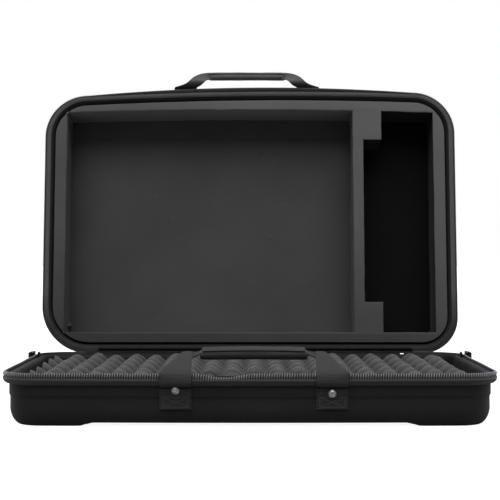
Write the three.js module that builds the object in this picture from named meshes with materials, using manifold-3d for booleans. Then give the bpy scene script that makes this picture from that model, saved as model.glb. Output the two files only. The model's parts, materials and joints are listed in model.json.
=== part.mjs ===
// A large zipped equipment carry case, moulded in two halves and standing open. The lower half lies
// flat and holds an egg-crate foam pad. The upper half is folded up at the back and holds a foam
// surround with a main and a side compartment. A fabric hinge with two creases joins the halves, a
// coil zip runs round the other three sides, and each half has a webbing handle on its front wall.
// Millimetres. X runs left to right, Y front to back and Z up; the origin is the middle of the lower
// half's flat underside, which its corner feet hold clear of the ground.

import * as THREE from "three";
import { mergeVertices } from "three/addons/utils/BufferGeometryUtils.js";
import Module from "manifold-3d";

const wasm = await Module();
wasm.setup();

// Overall sizes.
const CASE_WIDTH = 600;
const CASE_DEPTH = 392;
const CORNER_RADIUS = 50;
const FRONT_BOW = 6; // how far the middle of the front side stands proud of its ends
const LOWER_HEIGHT = 65; // ground to parting plane, with the feet
const UPPER_HEIGHT = 82; // parting plane to the outside of the upper half
const FOOT_HEIGHT = 5;
const GAP = 0.4; // clearance between neighbours
const ARC_STEPS = 5;

// Insets from the outline of the rim, which is the widest part of each half.
const LIP_INSET = 5.2;
const BAND_INSET = 9.8;
const WALL_INSET = 10.8;
const BASE_INSET = 28; // where the rounded lower edge of a shell meets its flat face
const EDGE_HEIGHT = 26; // height of that rounded edge
const SHELL_THICKNESS = 4;
const CAVITY_INSET = 13.8;
const CAVITY_BASE_INSET = 34;
const CAVITY_EDGE_HEIGHT = 28;
const FOAM_CLEARANCE = 0.5;
const COIL_OUTER_INSET = 0.8;
const COIL_INNER_INSET = 3.6;
const TAPE_OUTER_INSET = 3.9;
const TAPE_INNER_INSET = 4.9;

// Heights measured from the parting plane into either half.
const COIL_START = 0.5;
const COIL_END = 5.2;
const TAPE_START = 1;
const TAPE_END = 10.2;
const LIP_START = 4.5;
const LIP_END = 10.5;
const BINDING_START = 5.6;
const BINDING_END = 11.8;
const BAND_END = 30; // the step line moulded round the wall
const LOWER_CAVITY = LOWER_HEIGHT - FOOT_HEIGHT - SHELL_THICKNESS;
const UPPER_CAVITY = UPPER_HEIGHT - SHELL_THICKNESS;

// The raised middle of the underside, which leaves a foot at each corner.
const ARCH_HALF_WIDTH = 186;
const ARCH_HALF_DEPTH = 70;
const ARCH_SLOPE = 24;

// Foam in the upper half.
const FOAM_FACE = 3;
const FLOOR_SHEET = 2.4;
const COMPARTMENT_HALF_WIDTH = 267;
const COMPARTMENT_FRONT = -161.5;
const COMPARTMENT_BACK = 166;
const DIVIDER_LEFT = 150.5;
const DIVIDER_THICKNESS = 15.6;
const BLOCK_REACH = 26.4;
const BLOCK_LENGTH = 44;

// Egg-crate pad in the lower half: its tips stop short of the parting plane.
const PAD_TOP = 5;
const PAD_HALF_WIDTH = 271; // a gap is left between the pad and the sides of the case

// Zip and hinge.
const ZIP_END_X = 235;
const HINGE_HALF_WIDTH = 215;
const HINGE_Y = CASE_DEPTH / 2 + 1;
const HINGE_THICKNESS = 1;
const LOWER_FLAP_END = 20; // how far from the parting plane the sewn flaps reach
const UPPER_FLAP_END = 15;
const LOWER_CREASE_DROP = 11.5; // both creases lie below the parting plane
const UPPER_CREASE_DROP = 3;
const CREASE_GAP = 0.7;
const OPEN_ANGLE = THREE.MathUtils.degToRad(98);
const END_TAB_BEFORE = 15; // the cloth tab over each end of the zip, either side of that end
const END_TAB_BEYOND = 7;
const END_TAB_START = 1.5;
const END_TAB_END = 11;

// Handles.
const LEG_SPACING = 186;
const WEBBING_WIDTH = 38;
const WEBBING_THICKNESS = 2;
const HANDLE_STRAP_THICKNESS = 2.4;
const HANDLE_STRAP_START = 1.6; // clearance from the hinge line
const HANDLE_REACH = 56; // hinge line of the handle to the middle of the grip
const LOWER_HANDLE_Y = -CASE_DEPTH / 2 - 4.2;
const UPPER_HANDLE_Y = LOWER_HANDLE_Y - 3.3; // this one folds back over its own sewn ends
const HANDLE_HINGE_HEIGHT = 1.8;
const ANCHOR_END = 39.5; // far end of the sewn webbing, as a height in its half
const LOWER_HANDLE_X = 4.6;
const UPPER_HANDLE_X = -4.6;
const LOWER_HANDLE_LEAN = THREE.MathUtils.degToRad(-64); // inwards, over the rim
const UPPER_HANDLE_LEAN = THREE.MathUtils.degToRad(22); // from the wall, towards the outer face
const GRIP_LENGTH = 126;
const GRIP_HEIGHT = 15;
const GRIP_THICKNESS = 12.5;
const GRIP_WRAP = 1.2;
const GRIP_SLOT_HEIGHT = 9.6;
const GRIP_SLOT_THICKNESS = 3.2;

// Rivets through the sewn ends of the handles.
const RIVET_HEIGHT = 22.5;
const RIVET_CAP_RADIUS = 5.2;
const RIVET_SHANK_RADIUS = 2;
const RIVET_HOLE_RADIUS = 2.4;
const WASHER_RADIUS = 6.5;
const WASHER_THICKNESS = 1.2;
const WALL_FACE_Y = -CASE_DEPTH / 2 + BAND_INSET; // outside of the front wall at its middle
const ANCHOR_FACE_Y = WALL_FACE_Y - WEBBING_THICKNESS;
const WASHER_Y = -CASE_DEPTH / 2 + CAVITY_INSET + 2.2;

// Zip sliders.
const SLIDER_Y = 134;
const SLIDER_LENGTH = 16;
const SLIDER_WIDTH = 9.6;
const SLIDER_PLATE = 1.6;
const SLIDER_OUTER_X = CASE_WIDTH / 2 - 0.4;
const SLIDER_INNER_X = CASE_WIDTH / 2 - 5.4;
const SLIDER_POST = 0.4;
const BAIL_X = SLIDER_OUTER_X + SLIDER_PLATE + 2.4;
const BAIL_RADIUS = 0.8;
const PULL_LENGTH = 30;
const PULL_WIDTH = 9;

const black = { roughness: 0.75, metalness: 0 };
const materials = {
  shell: { ...black, color: 0x17171a, roughness: 0.5 },
  binding: { ...black, color: 0x1c1c1f },
  tape: { ...black, color: 0x222226 },
  coil: { ...black, color: 0x3a3a3e, roughness: 0.4 },
  foam: { ...black, color: 0x464648, roughness: 0.95 },
  eggCrate: { ...black, color: 0x58585a, roughness: 1 },
  floor: { ...black, color: 0x232326, roughness: 0.8 },
  webbing: { ...black, color: 0x1e1e20 },
  metal: { color: 0x8a8a90, roughness: 0.35, metalness: 1 },
  paintedMetal: { color: 0x1a1a1c, roughness: 0.45, metalness: 0.6 },
};

// --- solids -------------------------------------------------------------------------------------

function solidOf(geometry) {
  const bare = geometry.index ? geometry.toNonIndexed() : geometry.clone();
  bare.deleteAttribute("normal");
  bare.deleteAttribute("uv");
  const merged = mergeVertices(bare, 1e-4);
  const vertProperties = merged.attributes.position.array;
  const triVerts = new Uint32Array(merged.index.array);
  return new wasm.Manifold(new wasm.Mesh({ numProp: 3, vertProperties, triVerts }));
}

function geometryOf(solid) {
  const mesh = solid.getMesh();
  const geometry = new THREE.BufferGeometry();
  geometry.setAttribute("position", new THREE.BufferAttribute(mesh.vertProperties, 3));
  geometry.setIndex(new THREE.BufferAttribute(mesh.triVerts, 1));
  geometry.computeVertexNormals();
  return geometry;
}

function named(name, solid, material) {
  const mesh = new THREE.Mesh(geometryOf(solid), new THREE.MeshStandardMaterial(materials[material]));
  mesh.name = name;
  return mesh;
}

// The case's outline moved inwards: square back, bowed front, round corners.
function outline(inset) {
  const side = CASE_WIDTH / 2 - inset;
  const back = CASE_DEPTH / 2 - inset;
  const front = -CASE_DEPTH / 2 + FRONT_BOW + inset;
  const radius = Math.max(CORNER_RADIUS - inset, 8);
  const quarter = Math.PI / 2;
  const shape = new THREE.Shape();
  shape.absarc(side - radius, back - radius, radius, 0, quarter);
  shape.absarc(-side + radius, back - radius, radius, quarter, 2 * quarter);
  shape.absarc(-side + radius, front + radius, radius, 2 * quarter, 3 * quarter);
  shape.quadraticCurveTo(0, front - 2 * FRONT_BOW, side - radius, front);
  shape.absarc(side - radius, front + radius, radius, 3 * quarter, 4 * quarter);
  shape.closePath();
  return shape;
}

// A straight prism of a shape between two heights.
function prism(shape, low, high) {
  const geometry = new THREE.ExtrudeGeometry(shape, {
    depth: high - low,
    bevelEnabled: false,
    curveSegments: ARC_STEPS,
  });
  return solidOf(geometry.translate(0, 0, low));
}

// A prism whose far edge is rounded: the outline spreads by `spread` over the last `edge` of height.
function roundedPrism(shape, low, high, spread, edge, steps) {
  const geometry = new THREE.ExtrudeGeometry(shape, {
    depth: high - low - edge,
    bevelThickness: edge,
    bevelSize: spread,
    bevelSegments: steps,
    curveSegments: ARC_STEPS,
  });
  const rounded = solidOf(geometry.translate(0, 0, low));
  return rounded.subtract(box([-CASE_WIDTH, -CASE_DEPTH, low - 2 * edge], [CASE_WIDTH, CASE_DEPTH, low]));
}

function box(low, high) {
  const size = high.map((value, axis) => value - low[axis]);
  const middle = high.map((value, axis) => (value + low[axis]) / 2);
  return solidOf(new THREE.BoxGeometry(...size).translate(...middle));
}

// A cylinder along Y, from y0 to y1.
function cylinderY(radius, x, z, y0, y1) {
  const geometry = new THREE.CylinderGeometry(radius, radius, y1 - y0, 16);
  return solidOf(geometry.translate(x, (y0 + y1) / 2, z));
}

// A cylinder along Z.
function cylinderZ(radius, x, y, z0, z1) {
  const geometry = new THREE.CylinderGeometry(radius, radius, z1 - z0, 12);
  return solidOf(geometry.rotateX(Math.PI / 2).translate(x, y, (z0 + z1) / 2));
}

function polygon(points) {
  return new THREE.Shape(points.map(([x, y]) => new THREE.Vector2(x, y)));
}

// A profile drawn in (y, z) and drawn out along X, centred on `x`.
function profileAlongX(points, x, width) {
  const geometry = new THREE.ExtrudeGeometry(polygon(points), { depth: width, bevelEnabled: false });
  const turn = new THREE.Matrix4().makeBasis(
    new THREE.Vector3(0, 1, 0),
    new THREE.Vector3(0, 0, 1),
    new THREE.Vector3(1, 0, 0),
  );
  return solidOf(geometry.applyMatrix4(turn).translate(x - width / 2, 0, 0));
}

// --- one half, drawn with Z as the height from the parting plane ----------------------------------

function anchorPositions(handleX) {
  return { left: handleX - LEG_SPACING / 2, right: handleX + LEG_SPACING / 2 };
}

function shell(height, cavityDepth, handleX) {
  const body = roundedPrism(
    outline(BASE_INSET), BAND_END - 7, height, BASE_INSET - WALL_INSET, EDGE_HEIGHT, 5);
  const band = prism(outline(BAND_INSET), LIP_END, BAND_END);
  const lip = prism(outline(LIP_INSET), LIP_START, LIP_END);
  const cavity = roundedPrism(
    outline(CAVITY_BASE_INSET), -1, cavityDepth,
    CAVITY_BASE_INSET - CAVITY_INSET, CAVITY_EDGE_HEIGHT, 4);
  let made = body.add(band).add(lip).subtract(cavity);
  for (const x of Object.values(anchorPositions(handleX))) {
    made = made.subtract(
      cylinderY(RIVET_HOLE_RADIUS, x, RIVET_HEIGHT, WALL_FACE_Y - 5, WALL_FACE_Y + 12));
  }
  return made;
}

// The lower shell's underside is raised between four moulded corner feet.
function withFeet(solid) {
  const ground = LOWER_HEIGHT;
  const arch = (reach) => [
    [-reach - ARCH_SLOPE, ground + 1],
    [-reach, ground - FOOT_HEIGHT],
    [reach, ground - FOOT_HEIGHT],
    [reach + ARCH_SLOPE, ground + 1],
  ];
  const across = new THREE.ExtrudeGeometry(polygon(arch(ARCH_HALF_WIDTH)), {
    depth: CASE_DEPTH,
    bevelEnabled: false,
  });
  across.rotateX(Math.PI / 2).translate(0, CASE_DEPTH / 2, 0);
  const along = profileAlongX(arch(ARCH_HALF_DEPTH), 0, CASE_WIDTH);
  return solid.subtract(solidOf(across)).subtract(along);
}

// A band round the rim between two insets that leaves the hinge's stretch of the back free.
function rimBand(outer, inner, low, high) {
  const shape = outline(outer);
  shape.holes.push(outline(inner));
  return prism(shape, low, high).subtract(box([-ZIP_END_X, 0, low - 1], [ZIP_END_X, CASE_DEPTH, high + 1]));
}

function binding() {
  const piping = roundedPrism(outline(2), BINDING_START, BINDING_END, 2, 2, 3);
  const inside = prism(outline(3.6), BINDING_START - 1, LIP_END + 0.3);
  const below = prism(outline(BAND_INSET - GAP), LIP_END, BINDING_END + 1);
  return piping.subtract(inside).subtract(below);
}

function compartments(low, high) {
  const side = COMPARTMENT_HALF_WIDTH;
  const front = COMPARTMENT_FRONT;
  const back = COMPARTMENT_BACK;
  const dividerRight = DIVIDER_LEFT + DIVIDER_THICKNESS;
  const blockRight = dividerRight + BLOCK_REACH;
  const main = box([-side, front, low], [DIVIDER_LEFT, back, high]);
  const recessed = prism(
    polygon([
      [blockRight, front], [side, front], [side, back], [blockRight, back],
      [blockRight, back - BLOCK_LENGTH], [dividerRight, back - BLOCK_LENGTH],
      [dividerRight, front + BLOCK_LENGTH], [blockRight, front + BLOCK_LENGTH],
    ]),
    low, high);
  return main.add(recessed);
}

// Foam that fills a cavity of the given depth from `face` to `floor`.
function foamBody(cavityDepth, face, floor) {
  const filled = roundedPrism(
    outline(CAVITY_BASE_INSET + FOAM_CLEARANCE), face, cavityDepth - FOAM_CLEARANCE,
    CAVITY_BASE_INSET - CAVITY_INSET, CAVITY_EDGE_HEIGHT, 4);
  return filled.subtract(
    box([-CASE_WIDTH, -CASE_DEPTH, floor], [CASE_WIDTH, CASE_DEPTH, cavityDepth + 1]));
}

function withWasherPockets(solid, handleX) {
  let made = solid;
  for (const x of Object.values(anchorPositions(handleX))) {
    made = made.subtract(
      cylinderY(WASHER_RADIUS + 1, x, RIVET_HEIGHT, WASHER_Y - 6, WASHER_Y + WASHER_THICKNESS + 1.6));
  }
  return made;
}

function foamSurround() {
  const floor = UPPER_CAVITY - FLOOR_SHEET - 2 * GAP;
  const body = foamBody(UPPER_CAVITY, FOAM_FACE, floor);
  return withWasherPockets(body, UPPER_HANDLE_X).subtract(compartments(FOAM_FACE - 1, floor + 1));
}

function foamFloorSheet() {
  const high = UPPER_CAVITY - GAP - 0.1;
  const above = box([-CASE_WIDTH, -CASE_DEPTH, 0], [CASE_WIDTH, CASE_DEPTH, high - FLOOR_SHEET]);
  return foamBody(UPPER_CAVITY, FOAM_FACE, high).subtract(above);
}

function eggCratePad() {
  const pad = foamBody(LOWER_CAVITY, PAD_TOP, LOWER_CAVITY).intersect(
    box([-PAD_HALF_WIDTH, -CASE_DEPTH, 0], [PAD_HALF_WIDTH, CASE_DEPTH, LOWER_CAVITY]));
  return withWasherPockets(pad, LOWER_HANDLE_X);
}

// The sewn end of a handle: flat on the wall, then out over the binding to the handle's hinge line.
function anchor(x) {
  const half = WEBBING_THICKNESS / 2;
  const wall = WALL_FACE_Y - half;
  const rim = LOWER_HANDLE_Y;
  const made = profileAlongX(
    [
      [wall + half, ANCHOR_END],
      [wall - half, ANCHOR_END],
      [wall - half, 17.4],
      [rim - half + 0.2, 12],
      [rim - half, 10.4],
      [rim - half, 3.8],
      [rim + half, 3.8],
      [rim + half, 9.9],
      [wall + half, 16.4],
    ],
    x, WEBBING_WIDTH);
  return made.subtract(cylinderY(RIVET_HOLE_RADIUS, x, RIVET_HEIGHT, wall - 6, wall + 6));
}

// Domed cap outside, shank through webbing and wall, and a flared tail on the washer inside.
function rivet(x) {
  const cap = ANCHOR_FACE_Y - 0.3;
  const tail = WASHER_Y + WASHER_THICKNESS + 0.3;
  const points = [
    [0, cap - 1.9],
    [2.6, cap - 1.5],
    [4.4, cap - 0.8],
    [RIVET_CAP_RADIUS, cap],
    [RIVET_SHANK_RADIUS, cap],
    [RIVET_SHANK_RADIUS, tail],
    [3.3, tail],
    [3, tail + 0.7],
    [0, tail + 0.7],
  ];
  const profile = points.map(([radius, y]) => new THREE.Vector2(radius, y));
  return solidOf(new THREE.LatheGeometry(profile, 16).translate(x, 0, RIVET_HEIGHT));
}

function washer(x) {
  const disc = cylinderY(WASHER_RADIUS, x, RIVET_HEIGHT, WASHER_Y, WASHER_Y + WASHER_THICKNESS);
  return disc.subtract(cylinderY(RIVET_HOLE_RADIUS, x, RIVET_HEIGHT, WASHER_Y - 1, WASHER_Y + 3));
}

function hingeFlap(low, high) {
  const half = HINGE_THICKNESS / 2;
  return box([-HINGE_HALF_WIDTH, HINGE_Y - half, low], [HINGE_HALF_WIDTH, HINGE_Y + half, high]);
}

// --- handle, drawn standing up with its hinge line on the X axis -----------------------------------

// One length of webbing: a leg, the run through the grip, and the other leg.
function handleStrap() {
  const inner = LEG_SPACING / 2 - WEBBING_WIDTH / 2;
  const outer = inner + WEBBING_WIDTH;
  const run = GRIP_SLOT_HEIGHT / 2 - 0.5;
  const low = HANDLE_REACH - run;
  const high = HANDLE_REACH + run;
  const rightHalf = [
    [outer, HANDLE_STRAP_START],
    [outer, 13],
    [inner + 24, 33],
    [inner + 11, 50],
    [inner + 4, high - 1],
    [inner - 4, high],
  ];
  const rightInside = [
    [inner - 9, low],
    [inner - 2, 42],
    [inner, 34],
    [inner, HANDLE_STRAP_START],
  ];
  const mirrored = (points) => points.map(([x, z]) => [-x, z]).reverse();
  const points = [...rightHalf, ...mirrored(rightHalf), ...mirrored(rightInside), ...rightInside];
  const geometry = new THREE.ExtrudeGeometry(polygon(points), {
    depth: HANDLE_STRAP_THICKNESS,
    bevelEnabled: false,
  });
  return solidOf(geometry.rotateX(Math.PI / 2).translate(0, HANDLE_STRAP_THICKNESS / 2, 0));
}

function roundedBar(height, thickness, length) {
  const radius = Math.min(height, thickness) / 2 - 0.5;
  const shape = new THREE.Shape();
  const y = thickness / 2 - radius;
  const z = height / 2 - radius;
  const quarter = Math.PI / 2;
  shape.absarc(y, z, radius, 0, quarter);
  shape.absarc(-y, z, radius, quarter, 2 * quarter);
  shape.absarc(-y, -z, radius, 2 * quarter, 3 * quarter);
  shape.absarc(y, -z, radius, 3 * quarter, 4 * quarter);
  const points = shape.getPoints(4).map((point) => [point.x, point.y + HANDLE_REACH]);
  return profileAlongX(points, 0, length);
}

function gripCore() {
  const bar = roundedBar(
    GRIP_HEIGHT - 2 * GRIP_WRAP - 0.6, GRIP_THICKNESS - 2 * GRIP_WRAP - 0.6, GRIP_LENGTH - 8);
  const slot = box(
    [-GRIP_LENGTH, -GRIP_SLOT_THICKNESS / 2, HANDLE_REACH - GRIP_SLOT_HEIGHT / 2],
    [GRIP_LENGTH, GRIP_SLOT_THICKNESS / 2, HANDLE_REACH + GRIP_SLOT_HEIGHT / 2]);
  return bar.subtract(slot);
}

function gripWrap() {
  const outside = roundedBar(GRIP_HEIGHT, GRIP_THICKNESS, GRIP_LENGTH);
  const inside = roundedBar(
    GRIP_HEIGHT - 2 * GRIP_WRAP, GRIP_THICKNESS - 2 * GRIP_WRAP, GRIP_LENGTH + 2);
  return outside.subtract(inside);
}

function handle(side, x, y, lean) {
  const group = new THREE.Group();
  group.add(named(`${side}_handle_strap`, handleStrap(), "webbing"));
  group.add(named(`${side}_grip_core`, gripCore(), "eggCrate"));
  group.add(named(`${side}_grip_wrap`, gripWrap(), "webbing"));
  group.position.x = x;
  group.position.y = y;
  group.rotation.x = lean;
  return group;
}

// --- zip sliders -----------------------------------------------------------------------------------

// A plate outside the coils and one inside, joined by a thin post that runs between the coils,
// with a bail on the outer plate for the pull. Drawn for the +X side, centred on the parting plane.
function slider() {
  const half = SLIDER_LENGTH / 2;
  const wide = SLIDER_WIDTH / 2;
  const outer = box(
    [SLIDER_OUTER_X, -half, -wide], [SLIDER_OUTER_X + SLIDER_PLATE, half, wide]);
  const inner = box(
    [SLIDER_INNER_X - SLIDER_PLATE, -half, -wide + 1.2], [SLIDER_INNER_X, half, wide - 1.2]);
  const post = box(
    [SLIDER_INNER_X - 0.2, -half, -SLIDER_POST / 2], [SLIDER_OUTER_X + 0.2, 0, SLIDER_POST / 2]);
  const bar = cylinderZ(BAIL_RADIUS, BAIL_X, 0, -wide + 0.4, wide - 0.4);
  const leg = (low) => box(
    [SLIDER_OUTER_X + 0.2, -1.2, low], [BAIL_X + BAIL_RADIUS, 1.2, low + 1]);
  return outer.add(inner).add(post).add(bar).add(leg(-wide + 0.4)).add(leg(wide - 1.4));
}

// A flat tab with an eye round the bail, lying along the zip towards the front.
function pull() {
  const eyeHalf = 2.8;
  const eyeRadius = 2;
  const thick = 0.8;
  const eye = cylinderZ(eyeRadius, BAIL_X, 0, -eyeHalf, eyeHalf);
  const neck = box([BAIL_X - thick, -6, -eyeHalf + 0.4], [BAIL_X + thick, 0, eyeHalf - 0.4]);
  const tab = box(
    [BAIL_X - thick, -PULL_LENGTH, -PULL_WIDTH / 2], [BAIL_X + thick, -5, PULL_WIDTH / 2]);
  return eye.add(neck).add(tab).subtract(cylinderZ(BAIL_RADIUS + 0.35, BAIL_X, 0, -5, 5));
}

function sliderGroup(sideName, mirror) {
  const group = new THREE.Group();
  group.add(named(`zip_slider_${sideName}`, slider(), "paintedMetal"));
  group.add(named(`zip_pull_${sideName}`, pull(), "paintedMetal"));
  group.position.set(0, SLIDER_Y, LOWER_HEIGHT);
  group.scale.x = mirror;
  return group;
}

// --- assembly --------------------------------------------------------------------------------------

// What both halves have, drawn with the height from the parting plane as Z.
function halfGroup(side, shellSolid, handleX) {
  const group = new THREE.Group();
  group.add(named(`${side}_shell`, shellSolid, "shell"));
  group.add(named(`${side}_rim_binding`, binding(), "binding"));
  const tape = rimBand(TAPE_OUTER_INSET, TAPE_INNER_INSET, TAPE_START, TAPE_END);
  const coil = rimBand(COIL_OUTER_INSET, COIL_INNER_INSET, COIL_START, COIL_END);
  group.add(named(`${side}_zip_tape`, tape, "tape"));
  group.add(named(`${side}_zip_coil`, coil, "coil"));
  for (const [place, x] of Object.entries(anchorPositions(handleX))) {
    group.add(named(`${side}_handle_anchor_${place}`, anchor(x), "webbing"));
    group.add(named(`${side}_rivet_${place}`, rivet(x), "metal"));
    group.add(named(`${side}_rivet_washer_${place}`, washer(x), "metal"));
  }
  return group;
}

// The lower half hangs down from the parting plane, so its group is mirrored in that plane.
function lowerHalf() {
  const body = withFeet(shell(LOWER_HEIGHT, LOWER_CAVITY, LOWER_HANDLE_X));
  const group = halfGroup("lower", body, LOWER_HANDLE_X);
  group.add(named("egg_crate_pad", eggCratePad(), "eggCrate"));
  const flap = hingeFlap(LOWER_CREASE_DROP + CREASE_GAP, LOWER_FLAP_END);
  group.add(named("hinge_flap_lower", flap, "binding"));
  const half = HINGE_THICKNESS / 2;
  for (const [place, sign] of [["left", -1], ["right", 1]]) {
    const near = sign * (ZIP_END_X - END_TAB_BEFORE);
    const far = sign * (ZIP_END_X + END_TAB_BEYOND);
    const tab = box(
      [Math.min(near, far), HINGE_Y - half, END_TAB_START],
      [Math.max(near, far), HINGE_Y + half, END_TAB_END]);
    group.add(named(`zip_end_tab_${place}`, tab, "binding"));
  }
  group.position.z = LOWER_HEIGHT;
  group.scale.z = -1;
  return group;
}

// The upper half, its hinge flap and its handle turn together about the upper crease.
function upperHalf() {
  const body = shell(UPPER_HEIGHT, UPPER_CAVITY, UPPER_HANDLE_X);
  const closed = halfGroup("upper", body, UPPER_HANDLE_X);
  closed.add(named("foam_surround", foamSurround(), "foam"));
  closed.add(named("foam_floor_sheet", foamFloorSheet(), "floor"));
  const flap = hingeFlap(CREASE_GAP - UPPER_CREASE_DROP, UPPER_FLAP_END);
  closed.add(named("hinge_flap_upper", flap, "binding"));
  const grip = handle("upper", UPPER_HANDLE_X, UPPER_HANDLE_Y, UPPER_HANDLE_LEAN);
  grip.position.z = HANDLE_HINGE_HEIGHT;
  closed.add(grip);
  closed.position.set(0, -HINGE_Y, UPPER_CREASE_DROP);
  const crease = new THREE.Group();
  crease.add(closed);
  crease.position.set(0, HINGE_Y, LOWER_HEIGHT - UPPER_CREASE_DROP);
  crease.rotation.x = -OPEN_ANGLE;
  return crease;
}

function hingeStrip() {
  const strip = hingeFlap(
    LOWER_HEIGHT - LOWER_CREASE_DROP + CREASE_GAP, LOWER_HEIGHT - UPPER_CREASE_DROP - CREASE_GAP);
  return named("hinge_strip", strip, "binding");
}

function lowerHandle() {
  const group = handle("lower", LOWER_HANDLE_X, LOWER_HANDLE_Y, LOWER_HANDLE_LEAN);
  group.position.z = LOWER_HEIGHT - HANDLE_HINGE_HEIGHT;
  return group;
}

const aboveGround = new THREE.Group();
aboveGround.add(lowerHalf(), hingeStrip(), upperHalf(), lowerHandle());
aboveGround.add(sliderGroup("right", 1), sliderGroup("left", -1));
aboveGround.position.z = -FOOT_HEIGHT;

const carryCase = new THREE.Group();
carryCase.add(aboveGround);

export default carryCase;
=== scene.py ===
"""A large zipped equipment carry case standing open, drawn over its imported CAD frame.

Metres: X runs left to right, Y front to back and Z up. Each half is drawn as on the closed case, in
(x, y, h) with h the height from the parting plane into that half, and then put in its place at rest.
"""

import json
import math
import random

import bmesh
import bpy
import numpy as np
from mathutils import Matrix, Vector, noise


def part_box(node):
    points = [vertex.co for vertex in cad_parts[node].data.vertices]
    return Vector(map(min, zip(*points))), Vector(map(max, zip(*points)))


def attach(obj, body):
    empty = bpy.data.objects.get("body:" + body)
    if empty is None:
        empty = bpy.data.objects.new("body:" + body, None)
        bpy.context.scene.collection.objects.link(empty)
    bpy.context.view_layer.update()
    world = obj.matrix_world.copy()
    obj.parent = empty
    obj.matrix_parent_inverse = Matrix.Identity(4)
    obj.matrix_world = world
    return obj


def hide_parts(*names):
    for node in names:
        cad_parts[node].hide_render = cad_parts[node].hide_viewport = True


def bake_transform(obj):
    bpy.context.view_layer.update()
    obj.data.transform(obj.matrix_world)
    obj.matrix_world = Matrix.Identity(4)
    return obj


MM = 0.001

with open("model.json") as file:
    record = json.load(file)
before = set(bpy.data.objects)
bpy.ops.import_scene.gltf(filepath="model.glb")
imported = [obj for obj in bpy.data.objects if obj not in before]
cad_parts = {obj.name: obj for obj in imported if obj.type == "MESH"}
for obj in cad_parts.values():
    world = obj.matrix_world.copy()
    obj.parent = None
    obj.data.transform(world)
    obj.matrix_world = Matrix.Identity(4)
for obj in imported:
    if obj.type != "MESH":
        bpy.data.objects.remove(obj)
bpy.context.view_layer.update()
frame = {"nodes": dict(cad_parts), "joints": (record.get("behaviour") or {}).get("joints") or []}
JOINTS = {joint["name"]: joint for joint in frame["joints"]}
CREASE = np.array(JOINTS["lid_close"]["pos_m"])
OPEN_ANGLE = math.radians(JOINTS["lid_close"]["range_deg"][1])
PLANE = CREASE[2] + 3 * MM

# The rim's outline, from the piping of the lower half.
RIM_LOW, RIM_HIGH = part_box("lower_rim_binding")
HALF_WIDTH = RIM_HIGH.x
BACK = RIM_HIGH.y
FRONT = RIM_LOW.y
CORNER_RADII = {  # back left, front left, front right, back right
    "lower": [50 * MM, 50 * MM, 50 * MM, 50 * MM],
    "upper": [68 * MM, 62 * MM, 61 * MM, 52 * MM],
}
ZIP_END = 235 * MM

# Depths of the two halves, from the parting plane.
LOWER_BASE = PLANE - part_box("lower_shell")[0].z
UPPER_BASE = 82 * MM
BASE_THICKNESS = {"lower": 9 * MM, "upper": 4 * MM}

# The lower half's feet: how high they are, and where each starts and how wide its slope is.
FOOT_HEIGHT = 5 * MM
FOOT_START_X = 186 * MM
FOOT_SLOPE_X = 21 * MM
FOOT_START_Y = 70 * MM
FOOT_SLOPE_Y = 22 * MM

# Wall of a half: insets from the outline.
BAND_INSET = 7.5 * MM
WALL_INSET = 8.6 * MM
BASE_INSET = 24 * MM
EDGE_HEIGHT = 23 * MM
CAVITY_INSET = 13.8 * MM

CORNER_STEPS = 20
SIDE_STEPS = 26
FRONT_STEPS = 64
BACK_STEPS = 20


# --- placing ---


def place_lower(points):
    p = np.asarray(points, float).reshape(-1, 3)
    return np.column_stack([p[:, 0], p[:, 1], PLANE - p[:, 2]])


def turn_upper(vectors):
    v = np.asarray(vectors, float).reshape(-1, 3)
    c, s = math.cos(-OPEN_ANGLE), math.sin(-OPEN_ANGLE)
    return np.column_stack([v[:, 0], v[:, 1] * c - v[:, 2] * s, v[:, 1] * s + v[:, 2] * c])


def place_upper(points):
    p = np.asarray(points, float).reshape(-1, 3)
    raised = np.column_stack([p[:, 0], p[:, 1], PLANE + p[:, 2]])
    return turn_upper(raised - CREASE * [0, 1, 1]) + CREASE * [0, 1, 1]


PLACE = {"lower": place_lower, "upper": place_upper}
BODY = {"lower": "lower_half", "upper": "upper_half"}
BASE = {"lower": LOWER_BASE, "upper": UPPER_BASE}
HAND = {-1: "left", 1: "right"}


# --- the outline ---


def arc(x, y, radius, start):
    angle = start + np.linspace(0, math.pi / 2, CORNER_STEPS + 1)
    return np.column_stack([x + radius * np.cos(angle), y + radius * np.sin(angle)])


def between(a, b, steps):
    t = (np.arange(1, steps) / steps)[:, None]
    return np.array(a) * (1 - t) + np.array(b) * t


def distances(path):
    """How far along a path each of its points is."""
    return np.concatenate([[0], np.cumsum(np.linalg.norm(np.diff(path, axis=0), axis=1))])


def front_line(half, inset):
    """(y at its left end, y at its right end, y reached between) of the front of the outline. The
    upper half's front is slack: its piping bows well out, and what lies inside it bows less."""
    if half == "lower":
        return FRONT + 6 * MM + inset, FRONT + 6 * MM + inset, FRONT + inset
    slack_share = min(1, max(0, (inset / MM - 0.6) / 1.4))
    peak = FRONT + inset + 5 * MM * slack_share
    return FRONT + 12.5 * MM + inset, FRONT + 8 * MM + inset, peak


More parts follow.
